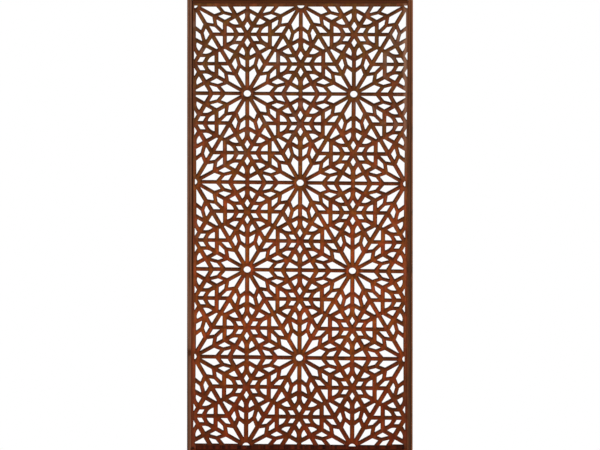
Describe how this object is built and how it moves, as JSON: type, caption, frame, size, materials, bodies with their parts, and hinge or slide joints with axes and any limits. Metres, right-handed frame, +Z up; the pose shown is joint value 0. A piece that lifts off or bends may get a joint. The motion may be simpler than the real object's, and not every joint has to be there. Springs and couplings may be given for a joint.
{
  "type": "mashrabiya lattice screen",
  "caption": "Tall framed wooden lattice screen with an interlaced twelve-rayed rosette pattern cut through one board.",
  "frame": {"origin": "middle of the top rail's back face, where the screen is fixed to a wall", "axes": "+X to the right seen from the front, +Y from the front to the back, +Z up"},
  "size_m": [1, 0.034, 2.085],
  "materials": {
    "lattice_wood": "satin red-brown stain, darker on the cut walls of the openings",
    "frame_wood": "satin dark brown stain with a greyer, worn face"
  },
  "bodies": {
    "root": {"lattice_lower": "lattice_wood", "lattice_upper": "lattice_wood", "stile_left": "frame_wood", "stile_right": "frame_wood", "rail_top": "frame_wood", "rail_bottom": "frame_wood"}
  },
  "joints": []
}
